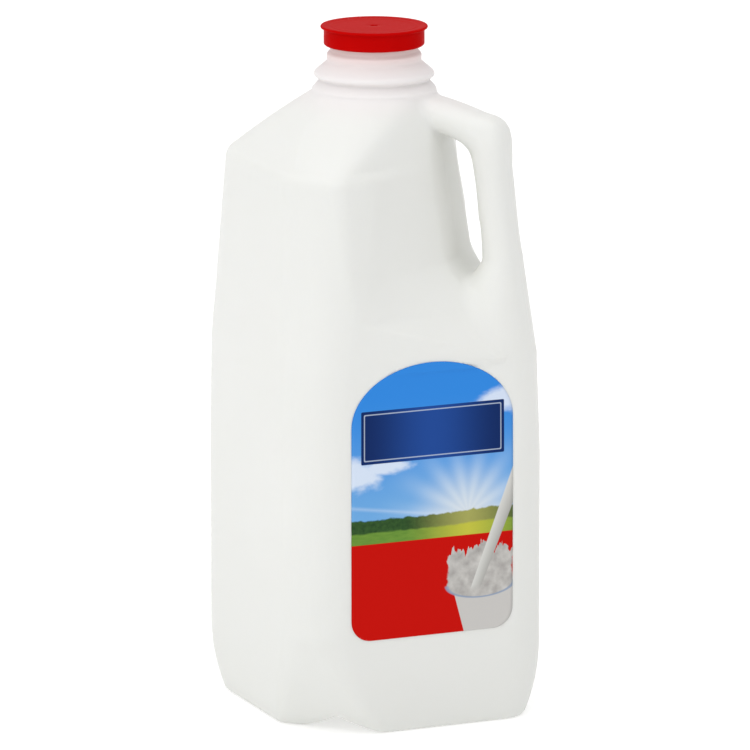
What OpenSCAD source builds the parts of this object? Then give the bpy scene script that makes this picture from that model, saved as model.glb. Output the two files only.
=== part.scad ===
// A half-gallon blow-moulded milk jug, full, with its push-fit cap and its label.
// The origin is the middle of the base, on the floor. +X points to the handle,
// which stands over one corner of the square body, and +Z is up.
// All sizes are in millimetres.

/* [Body] */
// Width of the square body across its flats
body_w = 102; // [90:1:115]
// Radius of the upright corners
corner_r = 18; // [14:0.5:22]
// Extra corner radius gained on the way up to the shoulder
corner_grow = 3; // [0:0.5:4]
// Height where the flat panels end and the sides start to lean in
panel_top = 138; // [130:1:150]
// Height of the top edge of the sides
side_top = 205; // [195:0.5:215]
// How far each side has leaned in at its top edge
side_lean = 4; // [0:0.2:6]
// Thickness of the plastic
wall = 0.6; // [0.5:0.05:1]

/* [Heel and base] */
// Height of the rounded heel
heel_h = 28; // [20:1:34]
// How far the heel draws in at the floor
heel_in = 5.5; // [3:0.5:8]
// Half width of the flat cut that the front and back corners get at the floor
corner_cut = 18; // [10:0.5:20]
// Height to which that cut runs up, narrowing
cut_h = 38; // [30:1:50]
// Radius of the cut's edges at the floor
cut_edge_r = 6; // [4:0.5:10]
// Height of the push-up in the middle of the base
push_up = 3; // [2:0.5:5]
// Radius of the push-up at the floor
push_up_r = 34; // [28:1:38]
// Width of the arched groove under the front and back corners
groove_w = 27; // [20:1:34]
// Height of that groove
groove_h = 6.6; // [3:0.2:8]

/* [Shoulder and neck] */
// Height of the soft edge between side and shoulder
edge_h = 6; // [4:0.5:8]
// Radius of the shoulder where it meets the neck
neck_base_r = 22.8; // [20:0.2:25]
// Height of the neck's foot
neck_z = 233; // [226:0.5:240]
// Radius of the bead around the neck
bead_r = 22.3; // [21:0.1:24]
// Radius of the groove under the bead
bead_groove_r = 20.3; // [19:0.1:21]
// Radius of the ring above the bead
ring_r = 17.5; // [17:0.1:18.5]
// Outer radius of the mouth
mouth_r = 16.3; // [15:0.1:17]
// Height of the mouth's rim
rim_z = 255.6; // [250:0.2:260]

/* [Handle] */
// Width of the grip, across the jug
grip_w = 18; // [14:0.5:22]
// Thickness of the grip, from palm to fingers
grip_t = 11.5; // [9:0.5:14]
// Distance from the corner's outermost point in to the middle of the grip, below the top bend
grip_in = 17.5; // [14:0.1:22]
// Lean of the grip, outwards for each millimetre down
grip_lean = 0.107; // [0:0.005:0.15]
// Height where the grip grows out of the corner
grip_foot_z = 173; // [165:1:178]
// Height of the bend at the top of the grip
grip_bend_z = 213.5; // [208:0.5:218]
// Distance from the middle of the grip to the body's wall, at the foot of the finger gap
gap_w = 14.2; // [13:0.1:18]
// Lean of that wall, inwards for each millimetre up
gap_wall_lean = 0.2; // [0.1:0.005:0.25]
// How far the corner under the handle has leaned in where the panels end
foot_lean = 0.8; // [0:0.2:2]
// Half width of the finger gap's wall
gap_wall_half = 17; // [12:0.5:19]
// How far the front and back corners have slid away from the handle at the top edge
corner_slide = 2.4; // [0:0.2:4]
// Height in which the scooped side crosses the panel
scoop_rise = 18; // [12:1:24]

/* [Cap] */
// Radius of the cap's top disc
cap_r = 19.8; // [18.8:0.1:21]
// Thickness of the top disc
cap_top_t = 1.3; // [1:0.1:2]
// Radius of the skirt
skirt_r = 18.6; // [18:0.1:18.8]
// Height of the skirt
skirt_h = 6; // [4:0.5:8]
// Thickness of the skirt
skirt_t = 0.9; // [0.7:0.1:1.2]

/* [Label] */
// Width of the label
label_w = 64.6; // [50:0.2:64.8]
// Height of the label to the top of its arch
label_h = 102.6; // [80:0.2:103]
// Height of the arch
label_arch = 22.6; // [12:0.2:30]
// Radius of the label's bottom corners
label_corner_r = 7.7; // [3:0.1:9]
// Height of the label's bottom edge
label_z = 37.5; // [30:0.5:38]
// Distance from the middle of the panel to the middle of the label, towards the handle
label_shift = 1.3; // [0:0.1:1.4]
// Thickness of the label
label_t = 0.25; // [0.2:0.05:0.4]

/* [Milk] */
// Height of the milk's surface
milk_z = 224; // [200:1:232]
// Gap between the milk and the plastic
milk_gap = 0.05; // [0.02:0.01:0.1]

/* [Hidden] */
$fn = 32;

// Height where the corners start to change on their way up.
lean_start = 100;
// Heights of the levels that the body is drawn through.
heel_levels = [for (i = [0:4]) heel_h*i/4];
scoop_levels = [for (i = [1:4]) panel_top + scoop_rise*i/4];
upper_levels = [for (i = [1:4]) panel_top + scoop_rise + (side_top - panel_top - scoop_rise)*i/4];
edge_levels = [for (a = [22, 42, 58]) side_top + edge_h*sin(a)];
levels = concat(heel_levels, [cut_h, lean_start, panel_top], scoop_levels, upper_levels, edge_levels);
// Directions in which each level's outline is found, two of them close beside each flat side's own.
turn = 9;
near = 0.01;
directions = [for (q = [0:3], a = [0, 1, 2, 3, 4, 5 - near, 5 + near, 6, 7, 8, 9])
    90*q + turn*a
];

// How far along a panel, from its middle, the scoop's edge lies once it has crossed the panel.
scoop_end = -28;
// Radius of the soft edges of the scoop and the finger gap's wall.
scoop_edge_r = 6;
gap_edge_r = 5;

function along(z, low, high) = min(1, max(0, (z - low)/(high - low)));
function mix(a, b, f) = a + (b - a)*f;

// Middle of the grip, and the body's wall behind the finger gap, measured from the axis.
grip_x = corner_x(lean_start) + corner_at(lean_start) - grip_in;
gap_wall_x = grip_x - gap_w;

// How far the body has drawn in at a height: at the heel, up the sides and over the top edge.
function heel_at(z) = heel_in*pow(1 - along(z, 0, heel_h), 2);
function lean_at(z) = side_lean*pow(along(z, panel_top, side_top), 1.05);
function edge_at(z) = edge_h*(1 - sqrt(max(0, 1 - pow(max(0, z - side_top)/edge_h, 2))));
function half_at(z) = body_w/2 - heel_at(z) - lean_at(z) - edge_at(z);
function corner_at(z) = corner_r - heel_at(z) - edge_at(z)
    + corner_grow*along(z, lean_start, panel_top + scoop_rise);
function cut_at(z) = corner_cut*(1 - along(z, 0, cut_h));
function slide_at(z) = corner_slide*along(z, panel_top + scoop_rise, side_top)/sqrt(2);

// Centre of an upright corner's rounding, on an axis of the plan.
function corner_x(z) = (half_at(z) - corner_at(z))*sqrt(2);
function handle_corner_x(z) = corner_x(z) - foot_lean*along(z, lean_start, panel_top);
// Where the scoop's edge lies along the panel, and the wall of the finger gap.
function scoop_at(z) = mix(body_w/2 - corner_r, scoop_end, along(z, panel_top, panel_top + scoop_rise));
function gap_wall_at(z) = z < grip_foot_z
    ? mix(corner_x(panel_top) + corner_at(panel_top) - gap_edge_r, gap_wall_x,
          along(z, panel_top, grip_foot_z))
    : gap_wall_x - gap_wall_lean*(z - grip_foot_z);

// The two discs [x, y, radius] of a corner that is cut flat, or round where the cut is nothing.
function cut_corner(side, z) = [
    for (s = [-1, 1])
        let (r = mix(corner_at(z), cut_edge_r, cut_at(z)/corner_cut), q = cut_at(z))
        [s*q - slide_at(z), side*((half_at(z) - r)*sqrt(2) - q - slide_at(z)), r]
];
// Over the panels: the scoop's edge on one panel, and the rim of the finger gap's wall.
function scooped(side, z) =
    let (a = half_at(z) - scoop_edge_r, t = scoop_at(z)) [
        [(a + t)/sqrt(2), side*(a - t)/sqrt(2), scoop_edge_r],
        [gap_wall_at(z) - gap_edge_r, side*(gap_wall_half - gap_edge_r), gap_edge_r]
    ];
// One level of the body, as the discs that its outline is stretched round.
function level(z) = concat(
    [[-corner_x(z), 0, corner_at(z)]],
    cut_corner(-1, z),
    cut_corner(1, z),
    z > panel_top ? concat(scooped(-1, z), scooped(1, z)) : [[handle_corner_x(z), 0, corner_at(z)]]
);
function reach(d, a) = d[0]*cos(a) + d[1]*sin(a) + d[2];
// The point of the outline that lies furthest in direction a.
function furthest(discs, a, z, inset) =
    let (most = max([for (d = discs) reach(d, a)]))
    [for (d = discs) if (reach(d, a) == most) [
        d[0] + (d[2] - inset)*cos(a), d[1] + (d[2] - inset)*sin(a), z
    ]][0];
function ring(discs, z, inset) = [for (a = directions) furthest(discs, a, z, inset)];

// A closed solid through a list of rings that hold as many points each.
module loft(rings) {
    n = len(rings[0]);
    last = len(rings) - 1;
    polyhedron(
        points = [for (r = rings, p = r) p],
        faces = concat(
            [[for (i = [0:n - 1]) i]],
            [for (j = [0:last - 1], i = [0:n - 1]) [j*n + i, (j + 1)*n + i, (j + 1)*n + (i + 1)%n]],
            [for (j = [0:last - 1], i = [0:n - 1]) [j*n + i, (j + 1)*n + (i + 1)%n, j*n + (i + 1)%n]],
            [[for (i = [0:n - 1]) last*n + n - 1 - i]]
        )
    );
}

// The body, closed by the shoulder that runs to the neck's foot.
module body_form(inset) {
    foot = [[0, 0, neck_base_r - 0.4]];
    loft(concat(
        [for (i = [0:len(levels) - 1]) ring(level(levels[i]), max(inset, levels[i]), inset)],
        [ring(foot, neck_z, inset)]
    ));
}

// One link of the handle, between two points [x, z, r] of its middle line.
module link(a, b, inset) {
    hull()
        for (p = [a, b], side = [-1, 1])
            translate([p[0], side*(grip_w - grip_t)/2, p[1]]) sphere(r = p[2] - inset, $fn = 16);
}

function grip_line(z) = grip_x + grip_lean*(grip_bend_z - 6 - z);

// The handle: out of the shoulder, round the bend, down the grip and into the corner.
module handle_form(inset) {
    r = grip_t/2;
    line = [
        [neck_base_r/2, neck_z - 7, r + 1.6],
        [neck_base_r + 3.2, neck_z - 8, r + 0.9],
        [grip_x - 10.2, neck_z - 11.4, r + 0.4],
        [grip_x - 2.8, grip_bend_z + 5.5, r + 0.5],
        [grip_x - 0.3, grip_bend_z, r + 0.5],
        [grip_line(grip_bend_z - 6), grip_bend_z - 6, r + 0.2],
        [grip_line(grip_bend_z - 14), grip_bend_z - 14, r],
        [grip_line(grip_foot_z + 8), grip_foot_z + 8, r],
        [grip_line(grip_foot_z), grip_foot_z, r + 0.6]
    ];
    for (i = [0:len(line) - 2])
        link(line[i], line[i + 1], inset);
    hull() {
        translate([handle_corner_x(panel_top), 0, panel_top - 4])
            cylinder(h = 1, r = corner_at(panel_top) - 0.5 - inset);
        for (side = [-1, 1])
            translate([grip_line(grip_foot_z), side*(grip_w - grip_t)/2, grip_foot_z])
                sphere(r = r + 0.6 - inset, $fn = 16);
    }
}

// The neck with its bead and ring, up to a given height.
module neck_form(inset, top) {
    rotate_extrude()
        polygon([
            [0, neck_z - 0.6],
            [neck_base_r - inset, neck_z - 0.6],
            [neck_base_r - inset, neck_z + 1],
            [bead_groove_r - inset, neck_z + 3.6],
            [bead_groove_r - inset, neck_z + 4.2],
            [bead_r - 0.8 - inset, neck_z + 4.9],
            [bead_r - inset, neck_z + 6],
            [bead_r - 0.8 - inset, neck_z + 7.4],
            [ring_r - inset, neck_z + 10.6],
            [ring_r - inset, neck_z + 13.6],
            [mouth_r - inset, neck_z + 14.4],
            [mouth_r - inset, top],
            [0, top]
        ]);
}

// What the base is hollowed by: the push-up and the arched grooves under two corners.
module base_hollow(inset) {
    groove_r = (pow(groove_w/2, 2) + pow(groove_h, 2))/(2*groove_h);
    translate([0, 0, inset]) {
        translate([0, 0, -1])
            cylinder(h = push_up + 1, r1 = push_up_r + 1 + inset, r2 = push_up_r - 12 + inset);
        translate([0, 0, groove_h - groove_r]) rotate([90, 0, 0])
            cylinder(h = 2*body_w, r = groove_r, center = true, $fn = 64);
    }
}

// The whole jug, drawn in all round by an inset.
module jug_form(inset, top) {
    difference() {
        union() {
            body_form(inset);
            handle_form(inset);
            neck_form(inset, top);
        }
        base_hollow(inset);
    }
}

module bottle() {
    color([0.94, 0.94, 0.92])
        difference() {
            jug_form(0, rim_z);
            jug_form(wall, rim_z + 1);
        }
}

module milk() {
    color([0.97, 0.97, 0.94])
        intersection() {
            jug_form(wall + milk_gap, rim_z);
            translate([-body_w, -body_w, 0]) cube([2*body_w, 2*body_w, milk_z]);
        }
}

module cap() {
    color([0.72, 0.04, 0.05])
        translate([0, 0, rim_z])
            rotate_extrude()
                polygon([
                    [0, 0],
                    [skirt_r - skirt_t, 0],
                    [skirt_r - skirt_t, -skirt_h],
                    [skirt_r - 0.3, -skirt_h],
                    [skirt_r, 0.4 - skirt_h],
                    [skirt_r, 0],
                    [cap_r, 0],
                    [cap_r, cap_top_t - 0.4],
                    [cap_r - 0.4, cap_top_t],
                    [0, cap_top_t]
                ]);
}

// The outline is a rectangle with round bottom corners under half an ellipse.
module label() {
    spring = label_h - label_arch;
    corner = label_w/2 - label_corner_r;
    color([0.30, 0.52, 0.74])
        rotate([0, 0, -45]) translate([body_w/2, label_shift, label_z])
            rotate([90, 0, 90]) linear_extrude(label_t)
                polygon(concat(
                    [for (a = [0:6:180]) [label_w/2*cos(a), spring + label_arch*sin(a)]],
                    [for (a = [180:15:270]) [label_corner_r*cos(a) - corner, label_corner_r*(1 + sin(a))]],
                    [for (a = [270:15:360]) [label_corner_r*cos(a) + corner, label_corner_r*(1 + sin(a))]]
                ));
}

bottle();
milk();
cap();
label();
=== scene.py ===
# %% [markdown]
# # A full milk jug
# The object is a half-gallon jug blown from natural polyethylene, full of milk, with a red
# push-fit cap and a printed label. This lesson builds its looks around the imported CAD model:
# every length is in millimetres while a shape is worked out, and in metres in Blender.

# %% Load the frame
import math

import bpy
import numpy as np
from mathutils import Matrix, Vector


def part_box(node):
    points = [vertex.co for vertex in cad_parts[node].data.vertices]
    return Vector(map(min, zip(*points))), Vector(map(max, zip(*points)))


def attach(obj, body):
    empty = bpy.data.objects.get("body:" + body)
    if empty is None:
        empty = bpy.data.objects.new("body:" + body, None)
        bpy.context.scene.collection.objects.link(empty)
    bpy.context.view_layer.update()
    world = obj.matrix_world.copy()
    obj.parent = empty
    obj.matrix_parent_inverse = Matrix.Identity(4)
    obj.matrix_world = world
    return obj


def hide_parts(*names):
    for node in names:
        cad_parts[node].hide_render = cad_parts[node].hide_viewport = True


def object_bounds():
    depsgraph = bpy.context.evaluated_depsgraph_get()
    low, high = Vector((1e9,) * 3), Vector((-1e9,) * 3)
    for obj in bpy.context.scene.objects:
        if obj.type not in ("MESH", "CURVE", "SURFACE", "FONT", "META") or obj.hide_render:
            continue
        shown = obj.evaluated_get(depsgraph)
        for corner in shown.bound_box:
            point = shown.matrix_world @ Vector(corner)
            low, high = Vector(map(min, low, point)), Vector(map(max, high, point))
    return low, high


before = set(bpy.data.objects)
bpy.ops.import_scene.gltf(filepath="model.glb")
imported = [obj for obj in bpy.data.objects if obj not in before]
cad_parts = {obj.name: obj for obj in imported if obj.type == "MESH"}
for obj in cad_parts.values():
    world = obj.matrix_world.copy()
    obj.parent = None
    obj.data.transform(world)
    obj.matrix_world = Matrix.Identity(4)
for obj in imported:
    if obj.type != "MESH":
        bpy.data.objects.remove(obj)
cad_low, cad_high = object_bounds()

MM = 0.001
print("CAD box in mm:", [round(v / MM, 1) for v in (*cad_low, *cad_high)])

# %% [markdown]
# ## The sizes
# A lesson that repeats a shape in another tool takes what it can from the frame: the boxes of
# the milk, the cap and the label say where those are. What a box can't say, such as a radius
# or a slope, is repeated here, under the name that it has in the CAD source if it is there. The
# skin may follow the real jug more closely than the CAD does, so a few of them differ a little.

# %% Sizes from the frame
milk_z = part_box("milk")[1].z / MM
cap_low, cap_high = (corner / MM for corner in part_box("cap"))
label_low, label_high = (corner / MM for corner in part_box("label"))
cap_r = cap_high.x
print("milk up to", round(milk_z, 1), "cap radius", round(cap_r, 2), "cap from", round(cap_low.z, 1))

# %% Sizes of the body
WALL = 0.6
BODY_W, CORNER_R, CORNER_GROW = 102, 18, 3
PANEL_TOP, SIDE_TOP, SIDE_LEAN, LEAN_CURVE = 138, 205, 4, 1.05
HEEL_H, HEEL_IN = 28, 5.5
CORNER_CUT, CUT_H, CUT_EDGE_R = 18, 38, 6
PUSH_UP, PUSH_UP_R = 3, 34
GROOVE_W, GROOVE_H = 33, 6.4
EDGE_H = 6
LEAN_START = 100
SCOOP_RISE, SCOOP_EDGE_R, SCOOP_EDGE_GROW, SCOOP_TURN = 18, 6, 3, 24
GAP_WALL_X, GAP_WALL_LEAN, GAP_WALL_HALF, GAP_EDGE_R = 33.6, 0.17, 17, 5
FOOT_LEAN, CORNER_SLIDE = 0.8, 2.4
BACK_SLIDE, BACK_SLIDE_H = 2.2, 20
SCOOP_TOP = PANEL_TOP + SCOOP_RISE
print("body", BODY_W, "mm across its flats, sides up to", SIDE_TOP, "mm, wall", WALL, "mm")

# %% Sizes of the neck and the handle
NECK_Z, NECK_BASE_R = 233, 22.8
BEAD_R, BEAD_GROOVE_R, RING_R, MOUTH_R, RIM_Z = 22.3, 20.3, 17.5, 16.3, 255.6
GRIP_W, GRIP_T, GRIP_X, GRIP_LEAN = 18, 11.5, 47.2, 0.107
GRIP_FOOT_Z, GRIP_BEND_Z = 173, 213.5
GRIP_TOP_Z = GRIP_BEND_Z - 6
GRIP_FLAT = (GRIP_W - GRIP_T) / 2
print("neck", 2 * NECK_BASE_R, "mm wide at its base, grip", GRIP_W, "by", GRIP_T, "mm")

# %% [markdown]
# ## The body as a distance field
# A blow-moulded jug is one skin without a seam between body, handle and neck. Boxes joined by
# booleans would leave hard joints, and subdivision would need a hand-made cage. A field does
# it all at once: a function gives each point its distance to the skin, and forms melt into
# each other where their distances are blended. A level of the body is an outline stretched
# round discs, so in each direction the outline reaches as far as its furthest disc does.

# %% How the body changes with height
def along(z, low, high):
    """0 below low, 1 above high, and a straight line between."""
    return np.clip((z - low) / (high - low), 0, 1)


def mix(a, b, f):
    return a + (b - a) * f


def edge_at(z):
    """How far the side has turned in over the rounded top edge."""
    return EDGE_H * (1 - np.sqrt(1 - along(z, SIDE_TOP, SIDE_TOP + EDGE_H) ** 2))


def heel_at(z):
    """How far the side is drawn in near the floor."""
    return HEEL_IN * (1 - along(z, 0, HEEL_H)) ** 2


def half_at(z):
    """Half the width across the flats."""
    lean = SIDE_LEAN * along(z, PANEL_TOP, SIDE_TOP) ** LEAN_CURVE
    return BODY_W / 2 - heel_at(z) - lean - edge_at(z)


def corner_at(z):
    """The radius of the corners."""
    grown = CORNER_GROW * along(z, LEAN_START, SCOOP_TOP)
    return CORNER_R - heel_at(z) - edge_at(z) + grown


def corner_x(z):
    """How far out the middle of a corner's circle lies."""
    return (half_at(z) - corner_at(z)) * math.sqrt(2)


def handle_corner_x(z):
    """The same for the corner under the handle, which leans in a little."""
    return corner_x(z) - FOOT_LEAN * along(z, LEAN_START, PANEL_TOP)


def gap_wall_at(z):
    """How far out the wall beside the finger gap lies."""
    foot = np.float64(PANEL_TOP)
    start = corner_x(foot) + corner_at(foot) - GAP_EDGE_R
    rising = mix(start, GAP_WALL_X, along(z, PANEL_TOP, GRIP_FOOT_Z))
    return np.where(z < GRIP_FOOT_Z, rising, GAP_WALL_X - GAP_WALL_LEAN * (z - GRIP_FOOT_Z))


print("half width at the floor, at the panel's top and above:", half_at(np.array([0, PANEL_TOP, SIDE_TOP])))


# %% The discs of one level
def level_discs(z):
    """The discs that the body's outline is stretched round at the heights z, in order round it."""
    scooped = along(z, SCOOP_TOP, SIDE_TOP)
    half, slide = half_at(z), CORNER_SLIDE * scooped / math.sqrt(2)
    cut = CORNER_CUT * (1 - along(z, 0, CUT_H))
    cut_r = mix(corner_at(z), CUT_EDGE_R, cut / CORNER_CUT)
    edge_r = SCOOP_EDGE_R + SCOOP_EDGE_GROW * scooped
    turned_by = np.radians(SCOOP_TURN) * scooped
    centre, round_it = half - corner_at(z), corner_at(z) - edge_r
    ridge = centre + round_it * np.cos(turned_by)
    ridge_end = -centre - round_it * np.sin(turned_by)
    ridge_t = mix(BODY_W / 2 - CORNER_R, ridge_end, along(z, PANEL_TOP, SCOOP_TOP))
    below = z <= PANEL_TOP
    back_x, back_r = handle_corner_x(z), corner_at(z)

    def near_half(side):
        corner = side * ((half - cut_r) * math.sqrt(2) - cut - slide)
        back = slide + (side > 0) * BACK_SLIDE * along(z, SIDE_TOP - BACK_SLIDE_H, SIDE_TOP)
        scoop = (ridge + ridge_t) / math.sqrt(2), side * (ridge - ridge_t) / math.sqrt(2), edge_r
        rim = gap_wall_at(z) - GAP_EDGE_R, side * (GAP_WALL_HALF - GAP_EDGE_R), GAP_EDGE_R
        return [
            (-cut - back, corner, cut_r), (cut - back, corner, cut_r),
            *[[np.where(below, whole, open_) for whole, open_ in zip((back_x, 0, back_r), disc)]
              for disc in (scoop, rim)],
        ]

    ring = [(-corner_x(z), 0, corner_at(z)), *near_half(-1), *reversed(near_half(1))]
    return [np.stack([np.broadcast_to(v, z.shape) for v in disc], 1) for disc in ring]


print("discs in a level:", len(level_discs(np.array([100.0]))))


# %% The directions in which a level is measured
DIRECTIONS = 96
turn = np.arange(DIRECTIONS) * 2 * math.pi / DIRECTIONS


def flat_directions(discs):
    """The angles of the flat sides that two neighbours of the ring, or next neighbours, share."""
    angles = []
    for step in (1, 2):
        for first, second in zip(discs, discs[step:] + discs[:step]):
            apart = second[:, :2] - first[:, :2]
            length = np.hypot(*apart.T)
            lean = np.clip((first[:, 2] - second[:, 2]) / np.maximum(length, 1e-6), -1, 1)
            angles.append(np.arctan2(apart[:, 1], apart[:, 0]) - np.arccos(lean))
    return np.stack(angles, 1)


def reach(discs, angles):
    """How far the furthest disc reaches at each angle."""
    return np.max([d[:, :1] * np.cos(angles) + d[:, 1:2] * np.sin(angles) + d[:, 2:] for d in discs], 0)


# %% A table of reaches, so that any point can be looked up
TABLE_STEP, TABLE_MARGIN = 0.25, 4
SHOULDER_SWELL, SHOULDER_IN = 0.9, 0.4
EDGE_TURN = math.radians(58)
EDGE_END = SIDE_TOP + EDGE_H * math.sin(EDGE_TURN)
table_z = np.arange(-TABLE_MARGIN, RIM_Z + TABLE_MARGIN, TABLE_STEP)
discs = level_discs(np.clip(table_z, 0, EDGE_END))
table_angle = np.hstack([np.tile(turn, (len(table_z), 1)), np.unwrap(flat_directions(discs), axis=0)])
shoulder = along(table_z, EDGE_END, NECK_Z)[:, None]
table_reach = mix(reach(discs, table_angle), NECK_BASE_R - SHOULDER_IN, shoulder)
table_reach += SHOULDER_SWELL * np.sin(shoulder * math.pi)
print("levels", len(table_z), "directions", table_angle.shape[1])
print("widest reach", round(table_reach.max(), 2), "mm")


def body_field(p):
    """Distance outside the body's sides, shoulder and floor, in mm."""
    place = np.clip((p[:, 2] - table_z[0]) / TABLE_STEP, 0, len(table_z) - 1.001)
    row = place.astype(int)
    part = (place - row)[:, None]
    angle = mix(table_angle[row], table_angle[row + 1], part)
    reaches = mix(table_reach[row], table_reach[row + 1], part)
    sides = (p[:, :1] * np.cos(angle) + p[:, 1:2] * np.sin(angle) - reaches).max(1)
    return np.maximum(sides, p[:, 2] - NECK_Z)


# %% [markdown]
# ## Blending, the handle and the neck
# Two distances are joined with a smooth minimum, which fills the inside corner with a fillet
# as wide as the plastic bridges in the mould. The handle is a thick line with a flattened
# section; the neck is a turned profile. Each could be its own mesh, but then the light would
# catch a seam that the real skin doesn't have.

# %% Joining and cutting with a fillet
def join(a, b, k):
    gap = np.maximum(k - np.abs(a - b), 0) / k
    return np.minimum(a, b) - gap * gap * k / 4


def cut_away(a, b, k):
    return -join(-a, b, k)


print("two forms 1 mm away, joined with a fillet of 4:", join(1, 1, 4), "mm away")


# %% The handle's middle line
def rounded(points, times=3):
    """Cuts the corners of a line again and again, which leaves it smooth."""
    for _ in range(times):
        near = points[:-1] * 0.75 + points[1:] * 0.25
        far = points[:-1] * 0.25 + points[1:] * 0.75
        points = np.vstack([points[:1], np.stack([near, far], 1).reshape(-1, 3), points[-1:]])
    return points


def grip_line(z):
    return GRIP_X + GRIP_LEAN * (GRIP_TOP_Z - z)


grip_r = GRIP_T / 2
grip_foot_r = grip_r + 0.6
handle_line = rounded(np.array([
    [NECK_BASE_R / 2, NECK_Z - 7, grip_r + 1.6],
    [NECK_BASE_R + 3.2, NECK_Z - 7.2, grip_r],
    [GRIP_X - 10.2, NECK_Z - 10.9, grip_r - 0.1],
    [GRIP_X - 3.2, GRIP_BEND_Z + 5, grip_r + 0.3],
    [GRIP_X - 0.4, GRIP_BEND_Z, grip_r + 0.2],
    [grip_line(GRIP_TOP_Z) - 0.2, GRIP_TOP_Z, grip_r + 0.1],
    [grip_line(GRIP_TOP_Z - 8), GRIP_TOP_Z - 8, grip_r],
    [grip_line(GRIP_FOOT_Z + 8), GRIP_FOOT_Z + 8, grip_r],
    [grip_line(GRIP_FOOT_Z), GRIP_FOOT_Z, grip_foot_r],
]))
bend_line = rounded(np.array([
    [GRIP_X - 8, GRIP_BEND_Z + 8.7, 4.6],
    [GRIP_X + 2, GRIP_BEND_Z + 7.8, 3.9],
    [GRIP_X + 0.5, GRIP_BEND_Z - 4, 4.6],
]), times=2)
print("handle line:", len(handle_line), "points")

# %% The arch over the fingers
ARCH_LOW, ARCH_RISE, ARCH_W, ARCH_IN, ARCH_R = 190, 29.4, 10.9, 3.5, 4.4
quarter = np.radians(np.arange(0, 91, 9))
arch_inside = np.stack([
    GRIP_X - ARCH_IN - ARCH_W * (1 - np.cos(quarter)),
    ARCH_LOW + ARCH_RISE * np.sin(quarter),
], 1)
arch_out = np.stack([ARCH_RISE * np.cos(quarter), ARCH_W * np.sin(quarter)], 1)
arch_out /= np.hypot(*arch_out.T)[:, None]
arch_line = np.column_stack([arch_inside + arch_out * ARCH_R, np.full(len(quarter), ARCH_R)])
BEND_JOIN, ARCH_JOIN, ARCH_FLAT = 1.5, 2.0, 3.6
print("arch from", ARCH_LOW, "to", ARCH_LOW + ARCH_RISE, "mm")


def tube_field(p, line, half_flat=GRIP_FLAT):
    """Distance to a flattened tube along a line of places and radii."""
    beside = np.maximum(np.abs(p[:, 1]) - half_flat, 0)
    nearest = np.full(len(p), 1e3)
    for (x0, z0, r0), (x1, z1, r1) in zip(line[:-1], line[1:]):
        dx, dz = x1 - x0, z1 - z0
        t = np.clip(((p[:, 0] - x0) * dx + (p[:, 2] - z0) * dz) / (dx * dx + dz * dz), 0, 1)
        away = np.sqrt((p[:, 0] - x0 - t * dx) ** 2 + (p[:, 2] - z0 - t * dz) ** 2 + beside ** 2)
        nearest = np.minimum(nearest, away - (r0 + t * (r1 - r0)))
    return nearest


def grip_field(p):
    """Distance to the whole grip: its tube, the sharp outer bend and the arch inside it."""
    grip = join(tube_field(p, handle_line), tube_field(p, bend_line), BEND_JOIN)
    return join(grip, tube_field(p, arch_line, half_flat=ARCH_FLAT), ARCH_JOIN)


# %% The foot of the handle and the neck
FOOT_Z = PANEL_TOP - 10


def foot_field(p):
    """The corner under the handle, drawn together towards the grip."""
    low = np.array([float(PANEL_TOP)])
    corner = np.array([[handle_corner_x(low)[0], 0, corner_at(low)[0]]])
    ends = [np.array([[grip_line(GRIP_FOOT_Z), side * GRIP_FLAT, grip_foot_r]]) for side in (-1, 1)]
    rise = along(p[:, 2], PANEL_TOP, GRIP_FOOT_Z)[:, None]
    reaches = mix(reach([corner], turn[None]), reach(ends, turn[None]), rise)
    sides = (p[:, :1] * np.cos(turn) + p[:, 1:2] * np.sin(turn) - reaches).max(1)
    return np.maximum(sides, np.maximum(FOOT_Z - p[:, 2], p[:, 2] - GRIP_FOOT_Z))


neck_profile = np.array([
    [-1.6, NECK_BASE_R - 0.3], [-0.6, NECK_BASE_R], [0.7, NECK_BASE_R], [1.2, NECK_BASE_R - 0.3],
    [3.4, BEAD_GROOVE_R + 0.15], [3.9, BEAD_GROOVE_R], [4.3, BEAD_GROOVE_R + 0.3],
    [4.8, BEAD_R - 0.8], [5.3, BEAD_R - 0.2], [6, BEAD_R], [6.7, BEAD_R - 0.2], [7.3, BEAD_R - 0.8],
    [10.4, RING_R + 0.3], [10.9, RING_R], [13.3, RING_R], [13.9, RING_R - 0.5],
    [14.5, MOUTH_R + 0.1], [15, MOUTH_R], [40, MOUTH_R],
])
NECK_SLOPE = 0.8
print("neck profile:", len(neck_profile), "points")


def neck_field(p):
    """Distance outside the neck, lessened by a factor because its profile slants."""
    rise = p[:, 2] - NECK_Z
    radius = np.interp(rise, neck_profile[:, 0], neck_profile[:, 1])
    sides = (np.hypot(p[:, 0], p[:, 1]) - radius) * NECK_SLOPE
    return np.maximum(sides, np.maximum(neck_profile[0, 0] - rise, p[:, 2] - RIM_Z))


# %% The whole jug as one field
GROOVE_RIDGE, GROOVE_X, GROOVE_SLOPE, FLOOR_EDGE = 1.35, 4.4, 0.85, 1.8
SHOULDER_FILLET, ARCH_FILLET, SHOULDER_X, ARCH_X = 3.0, 0.6, 24, 31
FOOT_FILLET, LEDGE_FILLET, FOOT_FILLET_H = 7.0, 0.3, 26
LOW_FILLET_Z, HIGH_FILLET_Z = 180, 205
FOOT_JOIN, NECK_JOIN = 0.4, 1.4
DOME_SINE, DOME_COSINE, DOME_BELOW, DOME_EDGE = 0.23, 0.97, 1, 2.5


def smooth(f):
    """The same step as f, but without a kink at 0 and 1."""
    return f * f * (3 - 2 * f)


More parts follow.
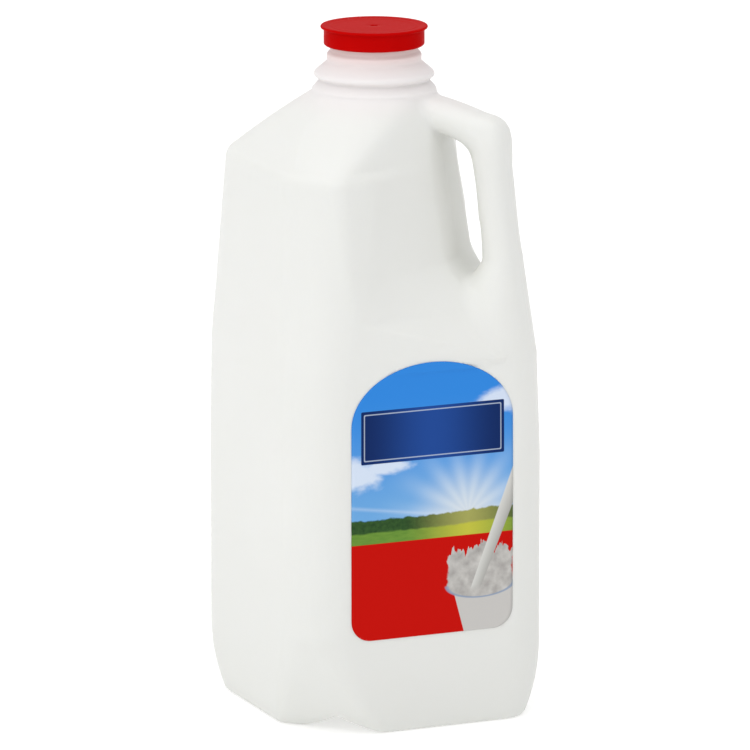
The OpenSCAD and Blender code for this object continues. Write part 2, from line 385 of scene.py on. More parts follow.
def jug_field(p):
    """Distance outside the jug's skin."""
    x, y, z = p.T
    handle = join(foot_field(p), grip_field(p), FOOT_JOIN)
    foot_rise = smooth(along(z, PANEL_TOP, PANEL_TOP + FOOT_FILLET_H))
    low_fillet = mix(LEDGE_FILLET, FOOT_FILLET, foot_rise)
    high_fillet = mix(SHOULDER_FILLET, ARCH_FILLET, along(x, SHOULDER_X, ARCH_X))
    fillet = mix(low_fillet, high_fillet, along(z, LOW_FILLET_Z, HIGH_FILLET_Z))
    whole = join(body_field(p), handle, fillet)
    whole = join(whole, neck_field(p), NECK_JOIN)
    out, up = np.hypot(x, y) - (PUSH_UP_R + DOME_BELOW), z + DOME_BELOW
    dome = out * DOME_SINE + up * DOME_COSINE
    whole = cut_away(whole, np.maximum(dome, z - PUSH_UP), DOME_EDGE)
    beside = np.clip(1 - np.abs(x - GROOVE_X) / (GROOVE_W / 2), 0, 1)
    groove = (z - GROOVE_H * beside ** GROOVE_RIDGE) * GROOVE_SLOPE
    return cut_away(whole, groove, FLOOR_EDGE)


print("middle of the jug:", jug_field(np.array([[0.0, 0.0, 100.0]])).round(1), "mm")


# %% [markdown]
# ## From a field to a mesh
# Marching cubes would leave thin triangles along every edge. A surface net sets one vertex in
# each cell that the skin passes through and joins the neighbours with quads, which subdivide
# and shade well. The cells are finer up the neck, whose bead and ring are small, and each
# vertex is then pulled onto the skin along the field's slope.

# %% A surface net on a box of cells
CORNERS = [(i, j, k) for i in (0, 1) for j in (0, 1) for k in (0, 1)]
CELL_EDGES = [
    (a, b) for a in CORNERS for b in CORNERS
    if sum(b) - sum(a) == 1 and sum(abs(np.subtract(a, b))) == 1
]


def shifted(grid, corner):
    """The values at one corner of every cell."""
    return grid[tuple(slice(c, n - 1 + c) for c, n in zip(corner, grid.shape))]


def surface_net(values, axes):
    """Vertices and quads where the values pass through zero."""
    inside = values < 0
    filled = sum(shifted(inside, c).astype(int) for c in CORNERS)
    cells = np.argwhere((filled > 0) & (filled < len(CORNERS)))
    index = np.full(filled.shape, -1)
    index[tuple(cells.T)] = np.arange(len(cells))
    total, count = np.zeros((len(cells), 3)), np.zeros(len(cells))
    for a, b in CELL_EDGES:
        at_a, at_b = cells + a, cells + b
        va, vb = values[tuple(at_a.T)], values[tuple(at_b.T)]
        crossed = (va < 0) != (vb < 0)
        t = np.where(crossed, va / np.where(crossed, va - vb, 1), 0)[:, None]
        pa = np.stack([axes[d][at_a[:, d]] for d in range(3)], 1)
        pb = np.stack([axes[d][at_b[:, d]] for d in range(3)], 1)
        total += np.where(crossed[:, None], pa + (pb - pa) * t, 0)
        count += crossed
    quads = []
    for d in range(3):
        ahead = np.roll(inside, -1, d)
        changed = np.argwhere(inside != ahead)
        u, v = (d + 1) % 3, (d + 2) % 3
        keep = (changed[:, d] < values.shape[d] - 1) & (changed[:, u] > 0) & (changed[:, v] > 0)
        keep &= (changed[:, u] < values.shape[u] - 1) & (changed[:, v] < values.shape[v] - 1)
        changed = changed[keep]
        ring = []
        for du, dv in ((1, 1), (0, 1), (0, 0), (1, 0)):
            cell = changed.copy()
            cell[:, u] -= du
            cell[:, v] -= dv
            ring.append(index[tuple(cell.T)])
        face = np.stack(ring, 1)
        outward = inside[tuple(changed.T)]
        quads.append(np.where(outward[:, None], face, face[:, ::-1]))
    return total / count[:, None], np.vstack(quads)


PROBE, LEAST_SLOPE = 0.02, 0.2


def in_parts(field, p, size=20000):
    """The field at many points, a part at a time, which saves memory."""
    return np.concatenate([field(p[i:i + size]) for i in range(0, len(p), size)])


def settle(p, field, rounds=4):
    """Moves points onto the skin along the field's slope."""
    for _ in range(rounds):
        f = in_parts(field, p)
        slope = np.stack([
            in_parts(field, p + step) - in_parts(field, p - step) for step in np.eye(3) * PROBE
        ], 1) / (2 * PROBE)
        steep = np.maximum((slope ** 2).sum(1), LEAST_SLOPE)
        p = p - slope * np.clip(f / steep, -1, 1)[:, None]
    return p


# %% The cells
CELL, FINE_CELL = 1.5, 0.45
MARGIN, BELOW, ABOVE = 3, 0.8, 2
FINE_FROM = NECK_Z - 2
half_box = cad_high.x / MM + MARGIN
across = np.arange(-half_box, half_box + CELL, CELL)
upwards = np.concatenate([
    np.arange(-BELOW, FINE_FROM - 1, CELL), np.arange(FINE_FROM, RIM_Z + ABOVE, FINE_CELL)
])
grid_x, grid_y = np.meshgrid(across, across, indexing="ij")
values = np.empty((len(across), len(across), len(upwards)))
for k, z in enumerate(upwards):
    layer = np.stack([grid_x.ravel(), grid_y.ravel(), np.full(grid_x.size, z)], 1)
    values[:, :, k] = jug_field(layer).reshape(grid_x.shape)
print("cells:", values.shape, "inside:", int((values < 0).sum()))


# %% A piece from points and faces
def piece(name, points, faces):
    """A Blender mesh object from points in mm."""
    mesh = bpy.data.meshes.new(name)
    mesh.from_pydata((np.asarray(points) * MM).tolist(), [], [list(map(int, f)) for f in faces])
    mesh.validate()
    mesh.update()
    mesh.polygons.foreach_set("use_smooth", [True] * len(mesh.polygons))
    made = bpy.data.objects.new(name, mesh)
    bpy.context.scene.collection.objects.link(made)
    print(name, len(mesh.vertices), "points", len(mesh.polygons), "faces")
    return made


# %% The skin of the jug
RIM_DOWN, RIM_IN = 0.3, 0.9
points, quads = surface_net(values, (across, across, upwards))
points = settle(points, jug_field)
middle = points[quads].mean(1)
in_mouth = np.hypot(middle[:, 0], middle[:, 1]) < MOUTH_R - RIM_IN
open_mouth = (middle[:, 2] > RIM_Z - RIM_DOWN) & in_mouth
jug = piece("jug_shell", points, quads[~open_mouth])
wall = jug.modifiers.new("wall", "SOLIDIFY")
wall.thickness = WALL * MM
wall.offset = -1
wall.use_quality_normals = True

# %% [markdown]
# ## The milk
# Milk is opaque, and what the eye reads as a white jug is milk behind a thin milky wall. Its
# shape is the same field drawn in by the wall, less a tenth of a millimetre, so that it reaches
# just into the plastic and no air shows. Along the wall the level climbs a little, as liquids do.

# %% The milk's body
REACH_IN = 0.1
CLIMB, CLIMB_LENGTH = 1.0, 1.6


def under_level(skin_distance, z):
    """Distance outside the milk at the heights z, from the distance outside the jug's skin."""
    drawn_in = skin_distance + WALL - REACH_IN
    surface = milk_z + CLIMB * (np.exp(np.minimum(drawn_in, 0) / CLIMB_LENGTH) - 1)
    return np.maximum(drawn_in, z - surface)


def milk_field(p):
    return under_level(jug_field(p), p[:, 2])


points, quads = surface_net(under_level(values, upwards), (across, across, upwards))
milk = piece("milk_fill", settle(points, milk_field, rounds=2), quads)

# %% [markdown]
# ## The cap
# The cap is moulded, so it is round to a hair, and a turned profile is the honest way to make
# it. The profile has what catches the light: the thin overhanging disc with its rolled edge,
# a shallow dish with the gate mark in the middle, and a skirt that is chamfered at its foot.

# %% A turned piece
def arc(cx, cz, r, start, end, steps):
    """Points [radius, height] along an arc, with the angles in degrees."""
    angles = np.radians(np.linspace(start, end, steps))
    return np.stack([cx + r * np.cos(angles), cz + r * np.sin(angles)], 1)


def turned(name, profile, segments=128):
    """A closed solid from a profile that starts and ends on the axis."""
    angles = np.arange(segments) * 2 * math.pi / segments
    inner = profile[1:-1]
    body = np.stack([
        np.outer(inner[:, 0], np.cos(angles)), np.outer(inner[:, 0], np.sin(angles)),
        np.outer(inner[:, 1], np.ones(segments))
    ], 2).reshape(-1, 3)
    ends = [[0, 0, profile[0, 1]], [0, 0, profile[-1, 1]]]
    first, last = len(body), len(body) + 1
    ring = np.arange(segments)
    after = np.roll(ring, -1)
    faces = []
    for j in range(len(inner) - 1):
        a, b = j * segments, (j + 1) * segments
        faces += np.stack([a + ring, b + ring, b + after, a + after], 1).tolist()
    base = (len(inner) - 1) * segments
    faces += [[first, int(i), int(n)] for i, n in zip(ring, after)]
    faces += [[last, int(base + n), int(base + i)] for i, n in zip(ring, after)]
    return piece(name, np.vstack([body, ends]), faces)


# %% The cap's profile, from the middle of its top round to the middle of its underside
SKIRT_R, SKIRT_T = 18.6, 0.9
DISH, GATE_R, GATE_DEEP = 0.25, 1.6, 0.55
TOP_ROLL, GATE_ROLL, UNDER_ROLL, FOOT_ROLL = 0.5, 0.25, 0.35, 0.5
DISH_TURN_X, DISH_TURN_R = 16.2, 0.6
top, skirt_foot, seat = cap_high.z, cap_low.z, RIM_Z
cap_profile = np.vstack([
    [[0, top - GATE_DEEP], [0.5, top - GATE_DEEP + 0.02]],
    arc(GATE_R, top - DISH - GATE_ROLL, GATE_ROLL, 200, 90, 6),
    [[r, top - DISH] for r in (4, 8, 12, 15.2)],
    arc(DISH_TURN_X, top - DISH + DISH_TURN_R, DISH_TURN_R, 250, 290, 4)[:2],
    [[17.6, top - 0.02], [18.4, top]],
    arc(cap_r - TOP_ROLL, top - TOP_ROLL, TOP_ROLL, 90, -60, 9),
    arc(SKIRT_R + UNDER_ROLL, seat - 0.2, UNDER_ROLL, 90, 180, 4),
    [[SKIRT_R, seat - 2], [SKIRT_R, seat - 4]],
    arc(SKIRT_R - FOOT_ROLL, skirt_foot + 0.7, FOOT_ROLL, 0, -50, 5),
    [[SKIRT_R - 0.55, skirt_foot], [SKIRT_R - SKIRT_T + 0.1, skirt_foot]],
    [[SKIRT_R - SKIRT_T, skirt_foot + 0.2], [SKIRT_R - SKIRT_T, seat - 0.3]],
    [[SKIRT_R - SKIRT_T - 0.4, seat], [8, seat], [0, seat]],
])
cap = turned("cap_body", cap_profile)

# %% [markdown]
# ## The label
# The label is a film that is stuck on flat, under half an ellipse at its top. A plane with an
# alpha mask would have no edge; here the rows of the sheet follow the outline, so the edge is
# real and as thick as film. The sheet is then pressed onto the skin, all but its last rows,
# which stand straight where the side begins to lean in, and it is given its thickness.

# %% The label's place on the panel
label_middle = (label_low + label_high) / 2
LABEL_T, GLUE_T = 0.25, 0.02
label_w = (label_high.x - label_low.x) * math.sqrt(2) - LABEL_T
label_h = label_high.z - label_low.z
label_shift = (label_middle.x + label_middle.y) / math.sqrt(2)
label_z = label_low.z
LABEL_ARCH, LABEL_CORNER_R = 22.6, 7.7
print("label", round(label_w, 1), "by", round(label_h, 1), "shifted", round(label_shift, 2))


def on_panel(u, v, out):
    """A point u across and v up the label, out from the middle plane of the jug."""
    u = u + label_shift
    return np.stack([(u + out) / math.sqrt(2), (u - out) / math.sqrt(2), v + label_z], -1)


# %% The sheet
LABEL_COLUMNS, CORNER_ROWS, SIDE_ROWS, ARCH_ROWS = 48, 13, 38, 40
spring = label_h - LABEL_ARCH
low_turn = np.radians(np.linspace(0, 90, CORNER_ROWS))
top_turn = np.radians(np.linspace(0, 89, ARCH_ROWS))
rows = np.concatenate([
    LABEL_CORNER_R * (1 - np.cos(low_turn)),
    np.linspace(LABEL_CORNER_R, spring, SIDE_ROWS + 2)[1:-1],
    spring + LABEL_ARCH * np.sin(top_turn),
])
half_widths = np.concatenate([
    label_w / 2 - LABEL_CORNER_R * (1 - np.sin(low_turn)),
    np.full(SIDE_ROWS, label_w / 2),
    label_w / 2 * np.cos(top_turn),
])
columns = np.linspace(-1, 1, LABEL_COLUMNS + 1)
sheet_u = half_widths[:, None] * columns
sheet_v = np.repeat(rows[:, None], len(columns), 1)
sheet = on_panel(sheet_u.ravel(), sheet_v.ravel(), np.full(sheet_u.size, BODY_W / 2))
outwards = np.array([1, -1, 0]) / math.sqrt(2)
PRESSED_TO = PANEL_TOP - 2
on_flat = sheet[:, 2] < PRESSED_TO
for _ in range(3):
    sheet = sheet - (in_parts(jug_field, sheet) * on_flat)[:, None] * outwards
grid = np.arange(sheet_u.size).reshape(sheet_u.shape)
sheet_faces = np.stack([grid[:-1, :-1], grid[:-1, 1:], grid[1:, 1:], grid[1:, :-1]], 2).reshape(-1, 4)
label = piece("label_film", sheet + outwards * GLUE_T, sheet_faces)
film = label.modifiers.new("film", "SOLIDIFY")
film.thickness = (LABEL_T - GLUE_T) * MM
film.offset = 1

# %% [markdown]
# ## Writing materials as sums
# A material is a formula over the surface. Written as nodes one by one it can't be read, so a
# small class wraps a socket, and plus, minus and times on it add the Math nodes. Colours go
# through Mix nodes, because a Math node would turn them grey.

# %% The class that wraps a socket
class Term:
    """A value on the surface. Arithmetic on it adds Math nodes to its material."""

    def __init__(self, paint, socket):
        self.paint, self.socket = paint, socket

    def math(self, operation, *values):
        return self.paint.term("ShaderNodeMath", {"operation": operation}, dict(enumerate(values)))

    def __add__(self, other):
        return self.math("ADD", self, other)

    def __radd__(self, other):
        return self.math("ADD", other, self)

    def __sub__(self, other):
        return self.math("SUBTRACT", self, other)

    def __rsub__(self, other):
        return self.math("SUBTRACT", other, self)

    def __mul__(self, other):
        return self.math("MULTIPLY", self, other)

    def __rmul__(self, other):
        return self.math("MULTIPLY", other, self)

    def __truediv__(self, other):
        return self.math("DIVIDE", self, other)

    def __rtruediv__(self, other):
        return self.math("DIVIDE", other, self)

    def __pow__(self, other):
        return self.math("POWER", self, other)

    def __or__(self, other):
        """The larger of two values."""
        return self.math("MAXIMUM", self, other)

    def __ror__(self, other):
        return self.math("MAXIMUM", other, self)

    def over(self, edge, soft=0.15):
        """A mask that is 1 where this is above the edge, with a soft step."""
        return self.paint.term(
            "ShaderNodeMapRange", {"interpolation_type": "SMOOTHSTEP"},
            {"Value": self, "From Min": edge - soft, "From Max": edge + soft},
        )

    def size(self):
        return self.math("ABSOLUTE", self)

    def sine(self):
        return self.math("SINE", self)


# %% The class that holds a material
class Paint:
    """A material whose nodes are made by formulas."""

    def __init__(self, name):
        self.material = bpy.data.materials.new(name)
        self.material.use_nodes = True
        self.tree = self.material.node_tree
        self.tree.nodes.clear()
        self.place = self.node("ShaderNodeTexCoord").outputs["Object"]
        split = self.node("ShaderNodeSeparateXYZ", {}, {"Vector": self.place})
        self.x, self.y, self.z = (Term(self, split.outputs[i]) * (1 / MM) for i in range(3))

    def node(self, kind, settings=None, sockets=None):
        """A node: its settings first, then the values or links of its sockets."""
        made = self.tree.nodes.new(kind)
        for key, value in (settings or {}).items():
            setattr(made, key, value)
        for key, value in (sockets or {}).items():
            self.feed(made.inputs[key], value)
        return made

    def feed(self, socket, value):
        value = value.socket if isinstance(value, Term) else value
        if isinstance(value, bpy.types.NodeSocket):
            self.tree.links.new(value, socket)
        else:
            socket.default_value = value

    def term(self, kind, settings=None, sockets=None):
        return Term(self, self.node(kind, settings, sockets).outputs[0])

    def blend(self, mask, first, second):
        """The first colour where the mask is 0, and the second where it is 1."""
        made = self.node("ShaderNodeMix", {"data_type": "RGBA"})
        for index, value in ((0, mask), (6, first), (7, second)):
            self.feed(made.inputs[index], value)
        return Term(self, made.outputs[2])

    def noise(self, grain, detail, stretch=(1, 1, 1)):
        """Noise between 0 and 1, whose features are about grain millimetres across."""
        scaled = self.node("ShaderNodeVectorMath", {"operation": "MULTIPLY"}, {0: self.place, 1: stretch})
        return self.term("ShaderNodeTexNoise", {}, {
            "Vector": scaled.outputs[0], "Scale": 1 / (grain * MM), "Detail": detail, "Roughness": 0.5,
        })

    def bump(self, height, distance, strength):
        """A normal bent by a height, whose full step is distance millimetres."""
        return self.node("ShaderNodeBump", {}, {
            "Strength": strength, "Distance": distance * MM, "Height": height,
        }).outputs[0]

    def finish(self, sockets, *users):
        """The shader, its output, and the pieces that wear it."""
        shader = self.node("ShaderNodeBsdfPrincipled", {}, sockets)
        self.node("ShaderNodeOutputMaterial", {}, {"Surface": shader.outputs[0]})
        for user in users:
            user.data.materials.clear()
            user.data.materials.append(self.material)
        print(self.material.name, len(self.tree.nodes), "nodes")


def linear(value):
    """The amount of light behind a 0 to 255 value, as screens encode it."""
    return ((value / 255 + 0.055) / 1.055) ** 2.4 if value > 10 else value / 255 / 12.92


def colour(red, green, blue):
    """A linear colour from the 0 to 255 values that a painter reads off a screen."""
    return (linear(red), linear(green), linear(blue), 1)


# %% [markdown]
# ## The plastic of the jug
# Natural polyethylene is milky: light enters, scatters and leaves a few millimetres away, which
# softens every edge. Subsurface scattering does that. The skin is satin with a faint orange peel
# from the mould, a raised parting line runs up the middle plane, and where there is no milk
# behind the wall, in the neck, it turns greyer and has the red of the cap painted on as a painted
# reflection. Its colour is also painted darker towards the bottom, as painted shade.

# %% The jug's material
SEAM_HALF, EMPTY_FROM, PAINTED_REFLECTION_FROM, PAINTED_SHADE_TO = 0.35, NECK_Z - 3, RIM_Z - 9, 130
skin = Paint("jug_plastic")
peel = skin.noise(2.2, detail=3)
sway = skin.noise(45, detail=1)
seam = 1 - skin.y.size().over(SEAM_HALF, 0.3)
empty = skin.z.over(EMPTY_FROM, 6)
# The mask for a painted reflection: the red of the cap is painted into the neck just under it.
painted_cap_reflection = skin.z.over(PAINTED_REFLECTION_FROM, 7)
milky_tone_and_painted_light = skin.blend(sway, colour(226, 226, 220), colour(229, 229, 224))
# Painted shade: the colour is painted darker towards the bottom, where less light from above falls.
milky_tone_and_painted_light = skin.blend(skin.z.over(0, PAINTED_SHADE_TO), colour(212, 213, 207), milky_tone_and_painted_light)
milky_tone_and_painted_light = skin.blend(empty * 0.8, milky_tone_and_painted_light, colour(233, 226, 225))
# Painted reflection: the cap's red light is painted as a pink tint at the top of the neck.
milky_tone_and_painted_light = skin.blend(painted_cap_reflection * 0.8, milky_tone_and_painted_light, colour(226, 170, 165))
skin.finish({
    "Base Color": milky_tone_and_painted_light,
    "Roughness": 0.42 + peel * 0.08,
    "IOR": 1.5,
    "Specular IOR Level": 0.3,
    "Subsurface Weight": 0.35,
    "Subsurface Radius": (1.0, 0.95, 0.85),
    "Subsurface Scale": 0.004,
    "Normal": skin.bump(peel * 0.5 + sway * 2 + seam, 0.12, 0.5),
}, jug)

# %% [markdown]
# ## The milk's white
# Milk is white with a trace of cream, because its fat scatters every colour nearly alike. A
# volume that scatters would be truer and far slower. The milk shows only through the wall, so
# an opaque glossy surface with a little subsurface scattering is enough.

# %% The milk's material
white = Paint("milk")
cream = white.noise(30, detail=2)
white.finish({
    "Base Color": white.blend(cream, colour(248, 247, 240), colour(250, 249, 244)),
    "Roughness": 0.18 + cream * 0.05,
    "Subsurface Weight": 0.3,
    "Subsurface Radius": (1.0, 0.9, 0.7),
    "Subsurface Scale": 0.003,
}, milk)

# %% [markdown]
# ## The cap's plastic
# The cap is a dense glossy red. Injection moulding leaves its faces smooth with a faint grain,
# and the light that soaks in makes the thin edge of the disc a little brighter than the skirt.

# %% The cap's material
red = Paint("cap_plastic")
grain = red.noise(1.1, detail=4)
flow = red.noise(9, detail=2)
red.finish({
    "Base Color": red.blend(flow, colour(172, 4, 4), colour(180, 7, 6)),
    "Roughness": 0.3 + grain * 0.1,
    "IOR": 1.25,
    "Specular IOR Level": 0.015,
    "Subsurface Weight": 0.1,
    "Subsurface Radius": (1.0, 0.1, 0.05),
    "Subsurface Scale": 0.002,
    "Normal": red.bump(grain, 0.03, 0.4),
}, cap)

# %% [markdown]
# ## The label's print
# The print is a landscape in flat fields: a sky with clouds, a plain navy plate, a hedge and a
# meadow with the sun low behind them, and a red field beside a glass of milk. An image would do
# it in one step but can't be repainted; formulas of the two label coordinates can. Each field is
# a mask, and the fields are laid over each other from the back to the front.

# %% The coordinates of the print, in mm from the lower left corner
ink = Paint("label_print")
across_u = (ink.x + ink.y) * (1 / math.sqrt(2)) - label_shift + label_w / 2
up_v = ink.z - label_z
ragged = ink.noise(3.2, detail=4) - 0.5
puffs = ink.noise(9, detail=5, stretch=(1, 1, 1.8)) - 0.5

# %% The sky and its glow
sky = ink.blend(up_v.over(66, 26), colour(104, 158, 208), colour(48, 126, 206))
SUN_U, SUN_V, GLOW_R, GLOW_FLATTER = 46.5, 44.5, 13, 1.15
RAY_TURNS, RAY_REACH = 15, 24
from_sun = ((across_u - SUN_U) ** 2 + ((up_v - SUN_V) * GLOW_FLATTER) ** 2) ** 0.5
glow = 1 - from_sun.over(GLOW_R, GLOW_R)
bearing = ink.term("ShaderNodeMath", {"operation": "ARCTAN2"}, {0: up_v - SUN_V, 1: across_u - SUN_U})
rays = (bearing * RAY_TURNS).sine() * 0.5 + 0.5
ray_reach = (1 - from_sun.over(RAY_REACH, 16)) * up_v.over(SUN_V, 2)
sky = ink.blend(ray_reach * (rays * 0.3 + 0.12), sky, colour(196, 212, 226))
sky = ink.blend(glow * 0.75, sky, colour(214, 216, 214))
print("print so far:", len(ink.tree.nodes), "nodes")

# %% The clouds
def cloud(u, v, half_u, half_v):
    """A soft bank of cloud round a point, broken up by noise."""
    away = (((across_u - u) / half_u) ** 2 + ((up_v - v) / half_v) ** 2) ** 0.5
    return 1 - (away + puffs * 1.5).over(0.85, 0.3)


clouds = cloud(2, 62.5, 10, 6) | cloud(13, 65, 13, 3) | cloud(60, 86, 12, 5)
STREAK_V, STREAK_LEAN = 43.5, 0.15
left_of_sun = SUN_U - across_u
streak = 1 - (up_v - STREAK_V - left_of_sun * STREAK_LEAN).size().over(0.3, 1)
sky = ink.blend(streak * left_of_sun.over(0, 4) * 0.35, sky, colour(214, 222, 230))
sky = ink.blend(clouds * 0.8, sky, colour(214, 221, 230))
print("print so far:", len(ink.tree.nodes), "nodes")

# %% The navy plate with its pale line
PLATE_U, PLATE_V, PLATE_HALF_U, PLATE_HALF_V, PLATE_TURN_R = 32.4, 76.3, 28.6, 9.9, 0.5
LINE_FROM, LINE_TO = 1.1, 1.5


def plate(inset):
    """A rectangle with small round corners, drawn in by an inset."""
    over_u = (across_u - PLATE_U).size() - (PLATE_HALF_U - PLATE_TURN_R - inset)
    over_v = (up_v - PLATE_V).size() - (PLATE_HALF_V - PLATE_TURN_R - inset)
    beyond = (over_u | 0) ** 2 + (over_v | 0) ** 2
    return 1 - (beyond ** 0.5).over(PLATE_TURN_R, 0.12)


plate_side = (across_u - PLATE_U).size().over(14, 14)
navy = ink.blend(plate_side, colour(32, 68, 138), colour(18, 40, 90))
pale_line = plate(LINE_FROM) - plate(LINE_TO)
print_field = ink.blend(plate(0), sky, navy)
print_field = ink.blend(pale_line * 0.75, print_field, colour(176, 188, 206))
print("print so far:", len(ink.tree.nodes), "nodes")

# %% The hedge and the meadow
HEDGE_TOP, HEDGE_FOOT, MEADOW_FOOT = 45.4, 40.6, 36.4
HEDGE_RAGGED, MEADOW_RAGGED = 2.2, 1.2
HILL_U, HILL_HALF, HILL_RISE = 59, 26, 2.2
near_sun = 1 - (across_u - SUN_U).size().over(11, 15)
leaves = ink.noise(1.3, detail=4)
hedge = ink.blend(leaves, colour(24, 48, 30), colour(62, 96, 48))
hedge = ink.blend(near_sun * 0.85, hedge, colour(166, 164, 92))
blades = ink.noise(4, detail=4, stretch=(1, 1, 4))
meadow = ink.blend(blades, colour(80, 120, 48), colour(112, 146, 60))
meadow = ink.blend(near_sun, meadow, colour(182, 180, 64))
hill = (1 - (across_u - HILL_U).size().over(0, HILL_HALF)) * HILL_RISE
under_hedge = (HEDGE_TOP + hill + ragged * HEDGE_RAGGED - up_v).over(0, 0.4)
under_meadow = (HEDGE_FOOT + hill + ragged * MEADOW_RAGGED - up_v).over(0, 0.5)
print_field = ink.blend(under_hedge, print_field, hedge)
print_field = ink.blend(under_meadow, print_field, meadow)
print("print so far:", len(ink.tree.nodes), "nodes")

# %% The red field and the glass of milk
red_field = (MEADOW_FOOT - up_v).over(0, 0.12)
print_field = ink.blend(red_field, print_field, colour(182, 14, 7))
GLASS_U, RIM_V, GLASS_HALF, RIM_HALF = 51.6, 17.6, 13.6, 5.2
GLASS_SIDE_U, GLASS_SIDE_V, GLASS_LEAN = 38.6, 23.4, 0.27
SPLASH_V, SPLASH_HALF, CROWN_H, SPIKE_H, PEAK_H = 30.5, 12.8, 6, 14, 4
glass_side = GLASS_SIDE_U + (GLASS_SIDE_V - up_v) * GLASS_LEAN
in_glass = (across_u - glass_side).over(0, 0.15) * (RIM_V - up_v).over(0, 0.1)
rim_away = (((across_u - GLASS_U) / GLASS_HALF) ** 2 + ((up_v - RIM_V) / RIM_HALF) ** 2) ** 0.5
crown = ink.noise(4.2, detail=3) - 0.5
spikes = ink.noise(2.2, detail=2, stretch=(1, 1, 0.15)) - 0.5
from_middle = (across_u - GLASS_U).size()
peak = (1 - from_middle.over(0.4, 3)) * PEAK_H
splash_top = SPLASH_V + crown * CROWN_H + spikes * SPIKE_H + peak
splash = (splash_top - up_v).over(0, 0.25) * (up_v - RIM_V).over(0, 0.3)
splash = splash * (1 - (from_middle + crown * 4).over(SPLASH_HALF, 0.4))
wet = ink.blend((ink.noise(4, detail=5) - 0.3) * 2.2, colour(150, 147, 144), colour(192, 190, 186))
print_field = ink.blend(in_glass, print_field, colour(184, 182, 179))
print_field = ink.blend(splash | (1 - rim_away.over(1, 0.03)), print_field, wet)
rim = (1 - (rim_away - 1).size().over(0.055, 0.03)) * (RIM_V - up_v).over(0, 0.4)
print_field = ink.blend(rim * 0.8, print_field, colour(128, 144, 168))
print("print so far:", len(ink.tree.nodes), "nodes")

# %% The stream that falls into the glass
STREAM_U, STREAM_LEAN, STREAM_HALF, STREAM_SPREAD, STREAM_FOOT = 43.2, 0.4, 1.7, 0.02, 16
stream_middle = STREAM_U + up_v * STREAM_LEAN
stream_half = STREAM_HALF + up_v * STREAM_SPREAD
in_stream = (stream_half - (across_u - stream_middle).size()).over(0, 0.15)
stream = in_stream * (up_v - STREAM_FOOT).over(0, 1.5)
lit = ((across_u - stream_middle) / stream_half) * 0.5 + 0.5
falling_milk = ink.blend(lit, colour(198, 198, 194), colour(158, 157, 153))
print_field = ink.blend(stream, print_field, falling_milk)
print("print so far:", len(ink.tree.nodes), "nodes")

# %% The ink on its satin film
film_grain = ink.noise(0.6, detail=2)
ink.finish({
    "Base Color": print_field,
    "Roughness": 0.36 + film_grain * 0.08,
    "IOR": 1.45,
    "Specular IOR Level": 0.04,
    "Normal": ink.bump(film_grain, 0.01, 0.3),
}, label)

# %% [markdown]
# ## Riding on the frame
# The jug has no joint, so every piece rides on the one body. Each made piece stands for its CAD
# node, which is hidden and stays for collision.

# %% Ride and replace
for made, node, slot in (
    (jug, "bottle", "jug_plastic"), (milk, "milk", "milk"),
    (cap, "cap", "cap_plastic"), (label, "label", "label_print"),
):
    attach(made, "root")
    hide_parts(node)

# %% [markdown]
# ## The studio
# The jug stands on a white table in a white room. The room's even light does most of the work,
# as in a light tent. Two wide soft lamps, one nearly overhead and one in front of the label's
# side, give the faces their shades.

# %% The floor and the room
FLOOR_HALF = 6.0
FLOOR_WHITE, FLOOR_GLOW, ROOM_LIGHT = 0.62, 0.45, 0.77
floor_corners = [(x * FLOOR_HALF, y * FLOOR_HALF, 0) for x, y in ((-1, -1), (1, -1), (1, 1), (-1, 1))]
floor_mesh = bpy.data.meshes.new("floor")
floor_mesh.from_pydata(floor_corners, [], [(0, 1, 2, 3)])
floor = bpy.data.objects.new("floor", floor_mesh)
bpy.context.scene.collection.objects.link(floor)
table_top = Paint("floor_white")
table_top.finish({
    "Base Color": (FLOOR_WHITE, FLOOR_WHITE, FLOOR_WHITE, 1),
    "Roughness": 0.9,
    "Specular IOR Level": 0.1,
    "Emission Color": (1, 1, 1, 1),
    "Emission Strength": FLOOR_GLOW,
}, floor)

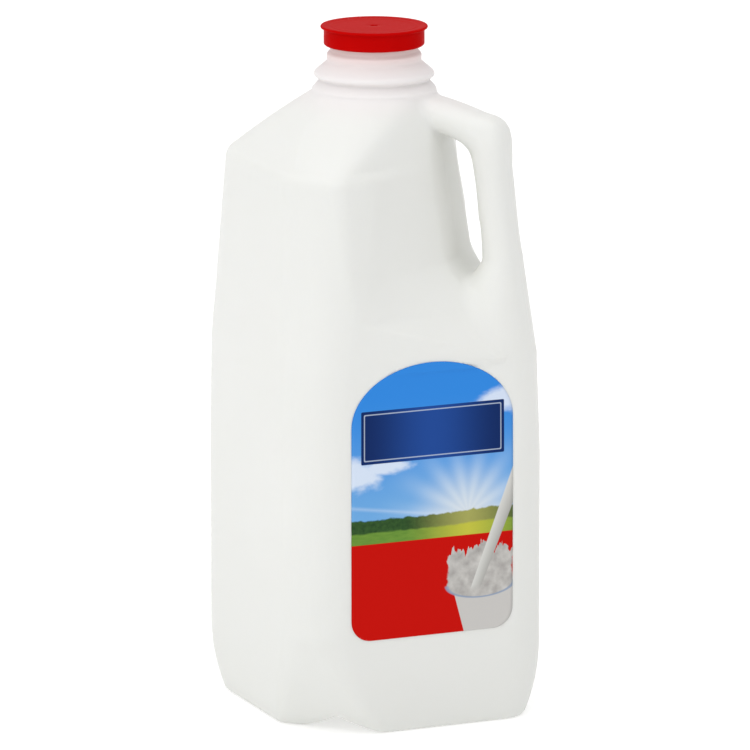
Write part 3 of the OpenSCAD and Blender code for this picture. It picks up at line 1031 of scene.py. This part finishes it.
room = bpy.data.worlds.new("room")
room.use_nodes = True
room.node_tree.nodes["Background"].inputs["Color"].default_value = (1, 1, 1, 1)
room.node_tree.nodes["Background"].inputs["Strength"].default_value = ROOM_LIGHT
bpy.context.scene.world = room
bpy.context.scene.view_settings.view_transform = "Standard"


# %% The lamps
def lamp(name, azimuth, elevation, strength, spread):
    """A wide soft light from far away. Azimuth 0 stands at -Y and 90 at +X, in degrees."""
    light = bpy.data.lights.new(name, "SUN")
    light.energy, light.angle = strength * math.pi, math.radians(spread)
    holder = bpy.data.objects.new(name, light)
    a, e = math.radians(azimuth), math.radians(elevation)
    towards = Vector((math.sin(a) * math.cos(e), -math.cos(a) * math.cos(e), math.sin(e)))
    holder.rotation_euler = towards.to_track_quat("Z", "Y").to_euler()
    bpy.context.scene.collection.objects.link(holder)


lamp("overhead_light", 0, 76, 0.36, 80)
lamp("front_light", -10, 28, 0.2, 60)
print("lamps:", len(bpy.data.lights))

# %% [markdown]
# ## The camera
# A long lens from far away keeps the jug's upright edges almost parallel. The camera could be
# made to track an empty, but a constraint is one more thing to keep. Its place and turn follow
# from two angles and a distance: a little above the jug, and to the right of its front corner.

# %% The camera
AZIMUTH, ELEVATION = math.radians(21.7), math.radians(12.45)
DISTANCE, LENS, SENSOR_W = 2.6831, 346.5, 36
MIDDLE_Z, AIM_RIGHT, AIM_DOWN = 0.128, 0.00032, 0.00296
back = Vector((
    math.sin(AZIMUTH) * math.cos(ELEVATION), -math.cos(AZIMUTH) * math.cos(ELEVATION), math.sin(ELEVATION)
))
right = Vector((math.cos(AZIMUTH), math.sin(AZIMUTH), 0))
up = back.cross(right)
eye = Vector((0, 0, MIDDLE_Z)) + right * AIM_RIGHT - up * AIM_DOWN + back * DISTANCE
camera_data = bpy.data.cameras.new("camera")
camera_data.lens, camera_data.sensor_width = LENS, SENSOR_W
camera = bpy.data.objects.new("camera", camera_data)
camera.location = eye
camera.rotation_euler = (-back).to_track_quat("-Z", "Y").to_euler()
bpy.context.scene.collection.objects.link(camera)
bpy.context.scene.camera = camera
print("camera at", [round(v, 3) for v in eye], "m")
